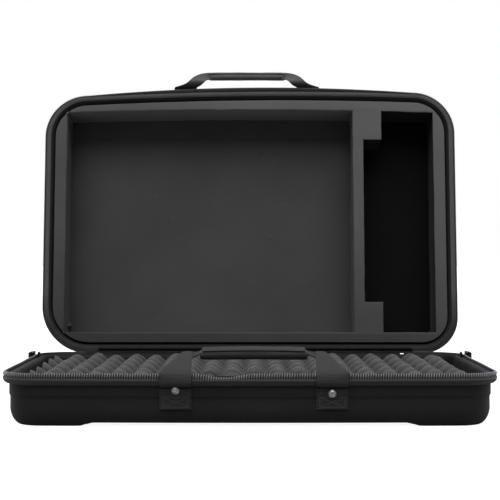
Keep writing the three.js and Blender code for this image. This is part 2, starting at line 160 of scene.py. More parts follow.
def outline(inset, half="lower"):
    """The rim's outline moved inwards. It starts at the left end of the zip, on the back, and ends
    with the stretch of the back that the zip leaves free."""
    left_y, right_y, peak = front_line(half, inset)
    side = HALF_WIDTH - inset
    back = BACK - inset
    back_left, front_left, front_right, back_right = [
        max(radius - inset, 6 * MM) for radius in CORNER_RADII[half]]
    quarter = math.pi / 2
    start = [front_left - side, left_y]
    stop = [side - front_right, right_y]
    t = (np.arange(1, FRONT_STEPS) / FRONT_STEPS)[:, None]
    bow = (1 - t) ** 2 * start + t**2 * stop
    bow = bow + 2 * t * (1 - t) * [0, 2 * peak - (left_y + right_y) / 2]
    left_end = min(ZIP_END, (side - back_left) * 0.94)
    right_end = min(ZIP_END, (side - back_right) * 0.94)
    return np.vstack([
        [[-left_end, back]],
        arc(back_left - side, back - back_left, back_left, quarter),
        between([-side, back - back_left], [-side, left_y + front_left], SIDE_STEPS),
        arc(front_left - side, left_y + front_left, front_left, 2 * quarter),
        bow,
        arc(side - front_right, right_y + front_right, front_right, 3 * quarter),
        between([side, right_y + front_right], [side, back - back_right], SIDE_STEPS),
        arc(side - back_right, back - back_right, back_right, 0),
        [[right_end, back]],
        between([right_end, back], [-left_end, back], BACK_STEPS),
    ])


RING_SIZE = len(outline(0))
ZIP_SIZE = RING_SIZE - (BACK_STEPS - 1)  # the ring's points that the zip runs over


def stations(inset, pitch, side):
    """Evenly spaced places along the zip: (points, axes), the axes being along, outward and h."""
    path = outline(inset, side)[:ZIP_SIZE]
    length = distances(path)
    at = np.arange(pitch / 2, length[-1], pitch)

    def place(distance):
        return np.column_stack([np.interp(distance, length, path[:, i]) for i in (0, 1)])

    points = place(at)
    tangent = place(at + pitch / 4) - place(at - pitch / 4)
    tangent /= np.linalg.norm(tangent, axis=1)[:, None]
    normal = np.column_stack([tangent[:, 1], -tangent[:, 0]])
    normal *= np.sign((normal * points).sum(1))[:, None]
    flat = np.zeros((len(at), 1))
    axes = np.stack([
        np.hstack([tangent, flat]), np.hstack([normal, flat]),
        np.tile([0.0, 0.0, 1.0], (len(at), 1))], axis=1)
    return points, axes


# --- meshes ---


def tidy_mesh(mesh, sharp=None):
    bm = bmesh.new()
    bm.from_mesh(mesh)
    bmesh.ops.remove_doubles(bm, verts=bm.verts, dist=1e-6)
    bmesh.ops.recalc_face_normals(bm, faces=bm.faces)
    bm.to_mesh(mesh)
    bm.free()
    mesh.polygons.foreach_set("use_smooth", [True] * len(mesh.polygons))
    if sharp:
        mesh.set_sharp_from_angle(angle=math.radians(sharp))
    mesh.update()


def add(name, points, faces, material, slot, body=None, stands_for=(), sharp=40, cloth=None,
        shade=None):
    """A closed mesh in the row frame as a piece of the object. cloth holds each point's place along
    the threads of its fabric, in metres, and shade how much of its colour shows, from 0 to 1."""
    mesh = bpy.data.meshes.new(name)
    mesh.from_pydata(np.asarray(points).tolist(), [], faces)
    if cloth is not None:
        attribute = mesh.attributes.new("cloth", "FLOAT_VECTOR", "POINT")
        flat = np.column_stack([cloth, np.zeros(len(cloth))]).astype(np.float32).ravel()
        attribute.data.foreach_set("vector", flat)
    if shade is not None:
        attribute = mesh.attributes.new("shade", "FLOAT", "POINT")
        attribute.data.foreach_set("value", shade.astype(np.float32))
    tidy_mesh(mesh, sharp)
    obj = bpy.data.objects.new(name, mesh)
    bpy.context.scene.collection.objects.link(obj)
    mesh.materials.append(material)
    if body:
        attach(obj, body)
    if stands_for:
        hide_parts(*stands_for)
    return obj


def add_to_half(side, name, points, faces, material, slot, stands_for=(), **options):
    """add, for points as on the closed case and names that start with their half's."""
    add(f"{side}_{name}", PLACE[side](points), faces, material, slot, BODY[side],
        [f"{side}_{node}" for node in stands_for], **options)


def grid_faces(rows, columns, start=0, wrap_rows=False, wrap_columns=False):
    faces = []
    for r in range(rows if wrap_rows else rows - 1):
        for c in range(columns if wrap_columns else columns - 1):
            a = start + r * columns + c
            b = start + r * columns + (c + 1) % columns
            below = start + ((r + 1) % rows) * columns
            faces.append((a, b, below + (c + 1) % columns, below + c))
    return faces


def sweep(profile, side, closed=True, shift=None, capped=False):
    """A section of (inset, h) points carried round the rim: all round, or along the zip. shift gives
    an extra height for points at (x, y). A capped section is open, and its first and last rings are
    filled; otherwise the section is closed."""
    count = RING_SIZE if closed else ZIP_SIZE
    rings, cloth = [], []
    across = 0
    previous = profile[0]
    for inset, h in profile:
        ring = outline(inset, side)[:count]
        height = np.full(count, h)
        if shift is not None:
            height = height + shift(ring[:, 0], ring[:, 1])
        rings.append(np.column_stack([ring, height]))
        across += math.dist(previous, (inset, h))
        previous = (inset, h)
        cloth.append(np.column_stack([distances(ring), np.full(count, across)]))
    faces = grid_faces(len(profile), count, wrap_rows=not capped, wrap_columns=closed)
    if capped:
        faces.append(tuple(range(count)))
        faces.append(tuple(reversed(range((len(profile) - 1) * count, len(profile) * count))))
    if not closed:
        faces.append(tuple(r * count for r in range(len(profile))))
        faces.append(tuple(r * count + count - 1 for r in reversed(range(len(profile)))))
    return np.vstack(rings), faces, np.vstack(cloth)


def sheet(grid, thickness, edge=0.5):
    """A closed solid of a thickness round a (rows, columns, 3) grid; edge thins its long edges."""
    grid = np.asarray(grid, float)
    rows, columns = grid.shape[:2]
    normal = np.cross(np.gradient(grid, axis=0), np.gradient(grid, axis=1))
    normal /= np.linalg.norm(normal, axis=2, keepdims=True) + 1e-12
    half = np.full(columns, thickness / 2)
    half[[0, -1]] *= edge
    offset = normal * half[None, :, None]
    points = np.vstack([(grid + offset).reshape(-1, 3), (grid - offset).reshape(-1, 3)])
    size = rows * columns
    faces = grid_faces(rows, columns) + [f[::-1] for f in grid_faces(rows, columns, size)]
    for r in range(rows - 1):
        for c in (0, columns - 1):
            a, b = r * columns + c, (r + 1) * columns + c
            faces.append((a, b, b + size, a + size))
    for c in range(columns - 1):
        for r in (0, rows - 1):
            a, b = r * columns + c, r * columns + c + 1
            faces.append((a, b, b + size, a + size))
    along = np.linalg.norm(np.diff(grid, axis=0), axis=2).cumsum(0)
    along = np.vstack([np.zeros((1, columns)), along])
    across = np.linalg.norm(np.diff(grid, axis=1), axis=2).cumsum(1)
    across = np.hstack([np.zeros((rows, 1)), across])
    cloth = np.column_stack([across.ravel(), along.ravel()])
    return points, faces, np.vstack([cloth, cloth])


def tube(path, radius, sides=6):
    """A closed round bar along a path of points."""
    path = np.asarray(path, float)
    along = np.gradient(path, axis=0)
    along /= np.linalg.norm(along, axis=1)[:, None]
    reference = np.where(np.abs(along[:, [0]]) < 0.8, [[1.0, 0, 0]], [[0, 0, 1.0]])
    side = np.cross(along, reference)
    side /= np.linalg.norm(side, axis=1)[:, None]
    up = np.cross(side, along)
    angle = np.arange(sides) / sides * 2 * math.pi
    ring = side[:, None] * np.cos(angle)[None, :, None] + up[:, None] * np.sin(angle)[None, :, None]
    points = (path[:, None] + radius * ring).reshape(-1, 3)
    faces = grid_faces(len(path), sides, wrap_columns=True)
    faces.append(tuple(range(sides)))
    faces.append(tuple(reversed(range(len(points) - sides, len(points)))))
    return points, faces


def repeat(template, faces, origins, axes):
    """Copies of a template in local (a, b, c) at each origin, with axes (count, 3, 3) as rows."""
    points = origins[:, None] + np.einsum("pk,mkj->mpj", template, axes)
    size = len(template)
    everywhere = [tuple(i + m * size for i in f) for m in range(len(origins)) for f in faces]
    return points.reshape(-1, 3), everywhere


# --- materials ---


class Finish:
    """A node material under construction."""

    def __init__(self, name, roughness=0.6, sheen=0.0, metallic=0.0, specular=0.5):
        self.material = bpy.data.materials.new(name)
        self.material.use_nodes = True
        self.nodes = self.material.node_tree.nodes
        self.surface = self.nodes["Principled BSDF"]
        self.set("Roughness", roughness)
        self.set("Metallic", metallic)
        self.set("Sheen Weight", sheen)
        self.set("Specular IOR Level", specular)
        self.place = self.nodes.new("ShaderNodeTexCoord").outputs["Object"]
        self.height = None

    def link(self, value, socket):
        if hasattr(value, "is_output"):
            self.material.node_tree.links.new(value, socket)
        else:
            socket.default_value = value

    def set(self, name, value):
        self.link(value, self.surface.inputs[name])

    def math(self, operation, *values):
        node = self.nodes.new("ShaderNodeMath")
        node.operation = operation
        for socket, value in zip(node.inputs, values):
            self.link(value, socket)
        return node.outputs[0]

    def noise(self, scale, detail=3.0, roughness=0.55, stretch=(1, 1, 1)):
        mapping = self.nodes.new("ShaderNodeMapping")
        mapping.inputs["Scale"].default_value = stretch
        self.link(self.place, mapping.inputs["Vector"])
        node = self.nodes.new("ShaderNodeTexNoise")
        node.inputs["Scale"].default_value = scale
        node.inputs["Detail"].default_value = detail
        node.inputs["Roughness"].default_value = roughness
        self.link(mapping.outputs[0], node.inputs["Vector"])
        return node.outputs["Fac"]

    def cells(self, scale):
        node = self.nodes.new("ShaderNodeTexVoronoi")
        node.inputs["Scale"].default_value = scale
        self.link(self.place, node.inputs["Vector"])
        return node.outputs["Distance"]

    def ramp(self, value, low, high, dark, light):
        """Colour from dark to light as value goes from low to high."""
        node = self.nodes.new("ShaderNodeMapRange")
        self.link(value, node.inputs["Value"])
        node.inputs["From Min"].default_value = low
        node.inputs["From Max"].default_value = high
        mix = self.nodes.new("ShaderNodeMix")
        mix.data_type = "RGBA"
        self.link(node.outputs[0], mix.inputs[0])
        self.link(dark, mix.inputs[6])
        self.link(light, mix.inputs[7])
        return mix.outputs[2]

    def attribute(self, name):
        node = self.nodes.new("ShaderNodeAttribute")
        node.attribute_name = name
        return node

    def shaded(self, color):
        """The colour times the mesh's own shade."""
        mix = self.nodes.new("ShaderNodeMix")
        mix.data_type = "RGBA"
        self.link(self.attribute("shade").outputs["Fac"], mix.inputs["Factor"])
        mix.inputs["A"].default_value = (0, 0, 0, 1)
        self.link(color, mix.inputs["B"])
        return mix.outputs["Result"]

    def weave(self, pitch, name="cloth"):
        """Plain weave over the piece's own thread directions, or over its place if it has none."""
        source = self.attribute(name).outputs["Vector"] if name else self.place
        split = self.nodes.new("ShaderNodeSeparateXYZ")
        self.link(source, split.inputs[0])
        waves = []
        for axis in (0, 1) if name else (0, 1, 2):
            scaled = self.math("MULTIPLY", split.outputs[axis], 2 * math.pi / pitch)
            waves.append(self.math("SINE", scaled))
        product = self.math("MULTIPLY", waves[0], waves[1])
        if len(waves) == 3:
            product = self.math("ADD", product, self.math("MULTIPLY", waves[0], waves[2]))
        return product

    def ribs(self, pitch, axis=1):
        split = self.nodes.new("ShaderNodeSeparateXYZ")
        self.link(self.attribute("cloth").outputs["Vector"], split.inputs[0])
        scaled = self.math("MULTIPLY", split.outputs[axis], 2 * math.pi / pitch)
        return self.math("SINE", scaled)

    def bump(self, height, distance, strength=1.0):
        node = self.nodes.new("ShaderNodeBump")
        node.inputs["Strength"].default_value = strength
        node.inputs["Distance"].default_value = distance
        self.link(height, node.inputs["Height"])
        if self.height is not None:
            self.link(self.height, node.inputs["Normal"])
        self.height = node.outputs[0]
        self.set("Normal", self.height)


def grey(value, warmth=0.0, cool=0.06):
    """A near-neutral colour, slightly cool as black textiles are."""
    return (value * (1 + warmth), value, value * (1 + cool), 1.0)


def fabric(name, value, roughness=0.6, sheen=0.25, pitch=0.9, depth=0.12, ribbed=None,
           threads=True, shaded=False):
    finish = Finish(name, roughness, sheen, specular=0.35)
    weave = finish.weave(pitch * MM, "cloth" if threads else None)
    mottled = finish.noise(35, 4)
    tone = finish.ramp(mottled, 0.3, 0.75, grey(value * 0.75), grey(value * 1.3))
    lifted = finish.math("ADD", finish.math("MULTIPLY", weave, 0.5), 0.5)
    color = finish.ramp(lifted, 0, 1, tone, grey(value * 1.9))
    finish.set("Base Color", finish.shaded(color) if shaded else color)
    finish.set("Roughness", finish.math("ADD", finish.math("MULTIPLY", mottled, 0.2), roughness - 0.1))
    finish.bump(finish.noise(900, 2), 0.05 * MM, 0.6)
    finish.bump(weave, depth * MM)
    if ribbed:
        finish.bump(finish.ribs(ribbed * MM), 0.12 * MM)
    return finish.material


def moulded_shell():
    finish = Finish("moulded_shell", 0.5, 0.03, specular=0.15)
    worn = finish.noise(9, 5)
    finish.set("Base Color", finish.ramp(worn, 0.35, 0.7, grey(0.006), grey(0.0095)))
    finish.set("Roughness", finish.math("ADD", finish.math("MULTIPLY", worn, 0.25), 0.42))
    finish.bump(finish.noise(16, 3), 0.5 * MM, 0.5)
    finish.bump(finish.weave(0.8 * MM), 0.05 * MM)
    finish.bump(finish.noise(1300, 2), 0.04 * MM)
    return finish.material


def surround_foam():
    finish = Finish("surround_foam", 0.93, 0.03, specular=0.08)
    cloudy = finish.noise(14, 5)
    grain = finish.noise(1500, 3, 0.7)
    # These colours are twice the foam's own tone: a mesh shade of 0.5 shows that tone, and more or
    # less is painted light or painted shade.
    tone = finish.ramp(cloudy, 0.3, 0.7, grey(0.13, cool=0.03), grey(0.165, cool=0.03))
    finish.set("Base Color", finish.shaded(
        finish.ramp(grain, 0.3, 0.75, tone, grey(0.2, cool=0.03))))
    finish.bump(finish.noise(60, 4), 0.6 * MM, 0.5)
    finish.bump(grain, 0.25 * MM, 0.7)
    finish.bump(finish.cells(1100), 0.12 * MM, 0.6)
    return finish.material


def egg_crate_foam():
    finish = Finish("egg_crate_foam", 0.97, 0.12, specular=0.1)
    speckle = finish.noise(700, 4, 0.75)
    cloudy = finish.noise(40, 4)
    tone = finish.ramp(cloudy, 0.3, 0.7, grey(0.042, cool=0.02), grey(0.06, cool=0.02))
    finish.set("Base Color", finish.shaded(
        finish.ramp(speckle, 0.42, 0.72, tone, grey(0.16, cool=0.02))))
    finish.bump(finish.cells(650), 0.5 * MM)
    finish.bump(speckle, 0.6 * MM)
    return finish.material


def floor_sheet(name, value, specular):
    finish = Finish(name, 0.62, specular * 0.3, specular=specular)
    cloudy = finish.noise(7, 5)
    chalk = finish.noise(60, 6, 0.75, stretch=(0.12, 1, 1))
    specks = finish.noise(240, 2, 0.6)
    tone = finish.ramp(cloudy, 0.3, 0.75, grey(value * 0.7), grey(value * 1.12))
    marks = finish.math("MULTIPLY", chalk, specks)
    finish.set("Base Color", finish.ramp(marks, 0.36, 0.5, tone, grey(value * 2.4)))
    finish.set("Roughness", finish.ramp(marks, 0.3, 0.5, grey(0.55), grey(0.9)))
    finish.bump(finish.noise(25, 3), 0.5 * MM, 0.6)
    finish.bump(finish.noise(1200, 2), 0.06 * MM)
    return finish.material


def nylon_coil(name, value):
    finish = Finish(name, 0.34, 0.0, specular=0.4)
    varied = finish.noise(150, 2)
    finish.set("Base Color", finish.ramp(varied, 0.3, 0.7, grey(value), grey(value * 1.8)))
    finish.bump(finish.noise(2500, 2), 0.03 * MM)
    return finish.material


def rivet_metal():
    finish = Finish("rivet_metal", 0.36, metallic=0.8, specular=0.5)
    scuffs = finish.noise(420, 5, 0.7)
    finish.set("Base Color", finish.ramp(scuffs, 0.4, 0.62, grey(0.12), grey(0.5)))
    finish.set("Roughness", finish.ramp(scuffs, 0.4, 0.7, grey(0.5), grey(0.25)))
    finish.bump(scuffs, 0.06 * MM)
    return finish.material


def slider_metal():
    finish = Finish("slider_metal", 0.4, metallic=0.7)
    scuffs = finish.noise(300, 5, 0.7)
    finish.set("Base Color", finish.ramp(scuffs, 0.5, 0.7, grey(0.012), grey(0.06)))
    finish.set("Roughness", finish.ramp(scuffs, 0.4, 0.7, grey(0.45), grey(0.3)))
    finish.bump(scuffs, 0.05 * MM)
    return finish.material


def thread(name, value):
    finish = Finish(name, 0.55, 0.3, specular=0.4)
    twist = finish.noise(2200, 2)
    finish.set("Base Color", finish.ramp(twist, 0.3, 0.7, grey(value), grey(value * 2)))
    finish.bump(twist, 0.1 * MM)
    return finish.material


SHELL = moulded_shell()
PIPING = fabric("binding_fabric", 0.005, 0.6, 0.09, pitch=1.1, depth=0.12)
# The upper tape is a lit copy of the lower one, far lighter: painted light. It also reads the mesh's
# shade, for painted shade towards the zip's ends.
TAPE = {
    "lower": fabric("zip_tape", 0.006, 0.6, 0.12, pitch=0.9, depth=0.14),
    "upper": fabric("lit_and_shaded_zip_tape", 0.05, 0.6, 0.1, pitch=0.9, depth=0.14, shaded=True),
}
# The hinge cloth is a darker copy of the binding fabric: painted shade in the crease between the
# halves.
SHADED_HINGE_CLOTH = fabric("shaded_hinge_fabric", 0.003, 0.85, 0.0, pitch=1.1, depth=0.12)
WEBBING = fabric("webbing", 0.022, 0.65, 0.06, pitch=1.6, depth=0.2, ribbed=2.4, shaded=True)
# The upper grip is a lit copy of the lower grip's fabric, far lighter: painted light where it catches
# the light.
GRIP = {
    "lower": fabric("grip_fabric", 0.007, 0.5, 0.12, pitch=1.3, depth=0.14, threads=False),
    "upper": fabric("lit_grip_fabric", 0.04, 0.55, 0.5, pitch=1.3, depth=0.14, threads=False),
}
# Both coils are copies of one black nylon: the lower one lighter, as painted highlight on its teeth,
# and the upper one darker, as painted shade.
COIL = {"lower": nylon_coil("zip_coil", 0.15), "upper": nylon_coil("shaded_zip_coil", 0.02)}
FOAM = surround_foam()
EGG_CRATE = egg_crate_foam()
FLOOR_SHEET = floor_sheet("floor_sheet", 0.036, 0.25)
# The side compartment's floor is a far darker copy of the floor sheet: painted shade, as that narrow
# compartment lies in shadow.
SHADED_SIDE_FLOOR = floor_sheet("shaded_side_floor_sheet", 0.0035, 0.05)
RIVET = rivet_metal()
SLIDER = slider_metal()
THREAD = thread("rim_thread", 0.09)
DARK_THREAD = thread("webbing_thread", 0.012)


# --- shells ---


INNER_RINGS = 12  # the rings of a shell's section that lie on its inside and over its lip


def wall_inset(h, base):
    """How far the wall stands in from the outline below the moulded step, at height h."""
    rise = max(0.0, (h - (base - EDGE_HEIGHT)) / EDGE_HEIGHT)
    return BASE_INSET - (BASE_INSET - WALL_INSET) * math.sqrt(max(0.0, 1 - rise * rise))


def shell_profile(base, cavity):
    """(inset, h) from the middle of the inside, up to the lip, over it, and down the outside."""
    inside = [(60, 0), (40, 0), (26, -1), (18, -5), (14.5, -12)]
    profile = [(i * MM, cavity + h * MM) for i, h in inside] + [(CAVITY_INSET, 14 * MM)]
    lip = [(13.7, 8.6), (12.9, 6.4), (11.6, 4.9), (9.6, 3.9), (7.4, 3.3), (5.9, 3.6), (5.3, 4.8),
           (5.3, 9.5), (7.0, 11.2), (7.5, 12.5), (7.5, 20), (7.5, 27.4), (7.7, 28.6),
           (8.5, 29.5), (8.8, 30.6)]
    profile += [(i * MM, h * MM) for i, h in lip]
    for h in np.arange(34 * MM, base - EDGE_HEIGHT, 4 * MM):
        profile.append((WALL_INSET + 0.2 * MM, h))
    for angle in np.linspace(0.1, math.pi / 2, 16):
        h = base - EDGE_HEIGHT * (1 - math.sin(angle))
        profile.append((wall_inset(h, base), h))
    return profile + [(i * MM, base) for i in (34, 40, 52, 75, 100)]


def rise_of_feet(x, y):
    """0 over the raised middle of the underside and 1 over its four corner feet."""

    def ramp(value, start, width):
        t = np.clip((value - start) / width, 0, 1)
        return t * t * (3 - 2 * t)

    return np.minimum(
        ramp(np.abs(x), FOOT_START_X, FOOT_SLOPE_X), ramp(np.abs(y), FOOT_START_Y, FOOT_SLOPE_Y))


def soft_cap(value, limit, softness):
    """value where it is well under limit, and limit above it, with a rounded change."""
    scaled = np.clip((limit - value) / softness, -30, 30)
    rounded = limit - softness * np.log1p(np.exp(scaled))
    return np.where(limit - value > 30 * softness, value, rounded)


def build_shell(side):
    base = BASE[side]
    profile = shell_profile(base, base - BASE_THICKNESS[side])
    points, faces, cloth = sweep(profile, side, capped=True)
    if side == "lower":
        limit = base - FOOT_HEIGHT * (1 - rise_of_feet(points[:, 0], points[:, 1]))
        outside = np.arange(len(points)) >= INNER_RINGS * RING_SIZE
        capped = soft_cap(points[:, 2], limit, 0.3 * MM)
        points[outside, 2] = capped[outside]
    add_to_half(side, "case_shell", points, faces, SHELL, "moulded_shell", ["shell"], sharp=50,
                cloth=cloth)


# --- rim: piping, zip tape and coil ---

COIL_PITCH = 3 * MM
COIL_INSET = 1.1 * MM
COIL_WIRE = 0.55 * MM
STITCH_PITCH = 3 * MM
STITCH_INSET = 0.05 * MM
STITCH_HEIGHT = 7.9 * MM
RIM_THREAD = 0.33 * MM

# Where the lower tape hangs slack, between the handle's straps, and by how much.
SLACK_LEFT = -69 * MM
SLACK_RIGHT = 7 * MM
SLACK_DROP = 4.2 * MM

# (inset, h) in millimetres. The lower tape stands behind the coil; the upper one lies on the lip.
TAPE_SECTION = {
    "lower": [(2.0, 0.5), (1.8, 1.5), (1.8, 4.6), (2.4, 6.6), (3.0, 8.4), (4.0, 8.3), (3.3, 5.2),
              (3.4, 1.6), (3.2, 0.7)],
    "upper": [(2.6, 1.4), (2.9, 1.7), (3.9, 1.5), (5.4, 1.3), (7.0, 1.6), (8.3, 2.3), (8.9, 3.1),
              (8.7, 3.5), (7.4, 2.6), (5.8, 2.3), (4.2, 2.5), (3.0, 3.1), (2.2, 3.1)],
}


def slack(side):
    """Waviness of the tape. On the lower half it hangs away between the handle's straps."""
    seed = 3.1 if side == "lower" else 8.7

    def shift(x, y):
        wave = np.array([
            noise.noise(Vector((a * 14, b * 14, seed))) for a, b in zip(x, y)]) * 0.55 * MM
        if side == "lower":
            along = np.clip((x - SLACK_LEFT) / (SLACK_RIGHT - SLACK_LEFT), 0, 1)
            wave = wave + SLACK_DROP * np.sin(along * math.pi) ** 2 * (y < -0.1)
        return wave

    return shift


def build_rim(side):
    shift = slack(side)
    roll = [
        (3.4, 6.0), (1.5, 5.7), (0.5, 6.1), (0.05, 7.2), (0.05, 9.4), (0.6, 11.4), (1.9, 13.0),
        (3.9, 14.2), (5.8, 14.8), (7.4, 15.1), (7.6, 14.0), (7.1, 12.6), (5.4, 10.8), (3.9, 8.6)]
    points, faces, cloth = sweep([(i * MM, h * MM) for i, h in roll], side)
    add_to_half(side, "piping", points, faces, PIPING, "binding_fabric", ["rim_binding"],
                cloth=cloth)

    strip = TAPE_SECTION[side]
    points, faces, cloth = sweep([(i * MM, h * MM) for i, h in strip], side, False, shift)
    # Painted shade, read only by the upper tape's material: darker towards the zip's ends by the
    # hinge, where the lid's lower rim lies in shadow.
    painted_end_shade = np.clip((165 * MM - points[:, 1]) / (60 * MM), 0.06, 1)  # darker towards the zip's ends
    add_to_half(side, "tape", points, faces, TAPE[side], "zip_tape", ["zip_tape"], cloth=cloth,
                shade=painted_end_shade)

    loop = np.array([
        (-0.4, -2.0, 4.9), (-0.3, -0.4, 5.0), (-0.1, 0.35, 4.1), (0.0, 0.5, 2.8),
        (0.1, 0.35, 1.5), (0.3, -0.4, 0.7), (0.4, -2.0, 0.8)]) * MM
    template, loop_faces = tube(loop, COIL_WIRE)
    at, axes = stations(COIL_INSET, COIL_PITCH, side)
    origins = np.column_stack([at, shift(at[:, 0], at[:, 1])])
    points, faces = repeat(template, loop_faces, origins, axes)
    add_to_half(side, "coil", points, faces, COIL[side], "zip_coil", ["zip_coil"], sharp=None)

    stitch, stitch_faces = tube(np.array([
        (-0.75, -0.35, 0.5), (-0.4, 0.12, 0.3), (0.4, 0.12, -0.3), (0.75, -0.35, -0.5)]) * MM,
        RIM_THREAD, 5)
    at, axes = stations(STITCH_INSET, STITCH_PITCH, side)
    origins = np.column_stack([at, np.full(len(at), STITCH_HEIGHT)])
    points, faces = repeat(stitch, stitch_faces, origins, axes)
    add_to_half(side, "rim_stitches", points, faces, THREAD, "binding_fabric", sharp=None)


# --- foams ---

PAD_HALF_WIDTH = 270 * MM
PAD_HALF_DEPTH = 181 * MM
PAD_CORNER = 36 * MM
PAD_TIP = 1 * MM
PAD_DEPTH = 21 * MM
PAD_BOTTOM = 53 * MM
PAD_COLUMN = 27.7 * MM
PAD_ROW = 30.2 * MM
PAD_MIDDLE = (6 * MM, 2 * MM)  # a tip
PAD_STEP = 2.5 * MM


def pad_height(x, y):
    """Convoluted foam: rounded tips on a staggered lattice, each a little different."""
    across = math.cos(math.pi * (x - PAD_MIDDLE[0]) / PAD_COLUMN)
    along = math.cos(math.pi * (y - PAD_MIDDLE[1]) / PAD_ROW)
    swell = ((across * along + 1) / 2) ** 0.85
    uneven = noise.noise(Vector((x * 22, y * 22, 1.7))) * 2 * MM
    pores = noise.noise(Vector((x * 300, y * 300, 4.2))) * 0.7 * MM
    return PAD_TIP + PAD_DEPTH * (1 - swell) + uneven * swell + pores


def build_pad():
    rows = int(2 * PAD_HALF_DEPTH / PAD_STEP)
    columns = int(2 * PAD_HALF_WIDTH / PAD_STEP)
    top = []
    for y in np.linspace(-PAD_HALF_DEPTH, PAD_HALF_DEPTH, rows):
        into = max(0.0, abs(y) - (PAD_HALF_DEPTH - PAD_CORNER))
        reach = PAD_HALF_WIDTH - PAD_CORNER + math.sqrt(max(PAD_CORNER**2 - into**2, 0))
        top += [(x, y, pad_height(x, y)) for x in np.linspace(-reach, reach, columns)]
    top = np.array(top)
    front = np.clip(-top[:, 1] / PAD_HALF_DEPTH, 0, 1) ** 4
    top[:, 1] += 6 * MM * front * (top[:, 0] / PAD_HALF_WIDTH) ** 2
    waist = top * [0.985, 0.97, 0]
    waist[:, 2] = 30 * MM
    bottom = top * [0.94, 0.88, 0]
    bottom[:, 2] = PAD_BOTTOM
    size = len(top)
    border = list(range(columns))
    border += [r * columns + columns - 1 for r in range(1, rows)]
    border += [(rows - 1) * columns + c for c in reversed(range(columns - 1))]
    border += [r * columns for r in reversed(range(1, rows - 1))]
    points = np.vstack([top, waist[border], bottom[border]])
    faces = grid_faces(rows, columns)
    around = len(border)
    for i in range(around):
        j = (i + 1) % around
        faces.append((border[i], border[j], size + j, size + i))
        faces.append((size + i, size + j, size + around + j, size + around + i))
    faces.append(tuple(range(size + around, size + 2 * around)))
    # Painted shade: darker down in the hollows between the tips.
    shade = np.interp(points[:, 2], [PAD_TIP, PAD_TIP + PAD_DEPTH * 0.55], [1, 0.12])
    add(
        "egg_crate", place_lower(points), faces, EGG_CRATE, "egg_crate_foam",
        "lower_half", ["egg_crate_pad"], sharp=None, shade=shade)


FOAM_INSET = 15.2 * MM
FOAM_FACE = 3 * MM
FOAM_END = 75 * MM
FOAM_BACK_INSET = 26.5 * MM
SIDE = 268 * MM
NEAR = -161.5 * MM
FAR = 166 * MM
DIVIDER_LEFT = 150.5 * MM
DIVIDER_RIGHT = 166.1 * MM
BLOCK_RIGHT = 192.5 * MM
BLOCK_LENGTH = 44 * MM
FOAM_BEVEL = 1.3 * MM
FLOOR_DEPTH = 75.2 * MM
FLOOR_THICKNESS = 1.6 * MM


def slack_front(x, y):
    """How far the foam's front edges stand back at their ends, as the slack upper half pulls it."""
    share = min(1, max(0, y / NEAR)) ** 3
    return 4.5 * MM * share * (x / SIDE) ** 2


def hand_cut(corners, seed):
    """A closed outline through the corners with the slight unevenness of a cut edge."""
    rng = random.Random(seed)
    cut = []
    for (x0, y0), (x1, y1) in zip(corners, corners[1:] + corners[:1]):
        length = math.hypot(x1 - x0, y1 - y0)
        steps = max(2, int(length / (11 * MM)))
        across = ((y1 - y0) / length, (x0 - x1) / length)
        for step in range(steps):
            t = step / steps
            stray = rng.uniform(-0.32, 0.32) * MM if step else 0
            x, y = x0 + (x1 - x0) * t + across[0] * stray, y0 + (y1 - y0) * t + across[1] * stray
            cut.append((x, y + slack_front(x, y)))
    return cut


def rectangle(x0, y0, x1, y1):
    return [(x0, y0), (x1, y0), (x1, y1), (x0, y1)]


def extruded(outlines, depth, bevel):
    """A prism with holes and softened edges, from its outer outline and those of its holes."""
    curve = bpy.data.curves.new("cut", "CURVE")
    curve.dimensions = "2D"
    curve.fill_mode = "BOTH"
    curve.extrude = depth / 2 - bevel
    curve.bevel_depth = bevel
    curve.bevel_resolution = 2
    curve.offset = -bevel
    for points in outlines:
        spline = curve.splines.new("POLY")
        spline.points.add(len(points) - 1)
        for point, (x, y) in zip(spline.points, points):
            point.co = (x, y, 0, 1)
        spline.use_cyclic_u = True
    obj = bpy.data.objects.new("cut", curve)
    bpy.context.scene.collection.objects.link(obj)
    mesh = bpy.data.meshes.new_from_object(obj.evaluated_get(bpy.context.evaluated_depsgraph_get()))
    points = np.array([v.co for v in mesh.vertices], float)
    faces = [tuple(p.vertices) for p in mesh.polygons]
    bpy.data.objects.remove(obj)
    bpy.data.curves.remove(curve)
    bpy.data.meshes.remove(mesh)
    return points, faces


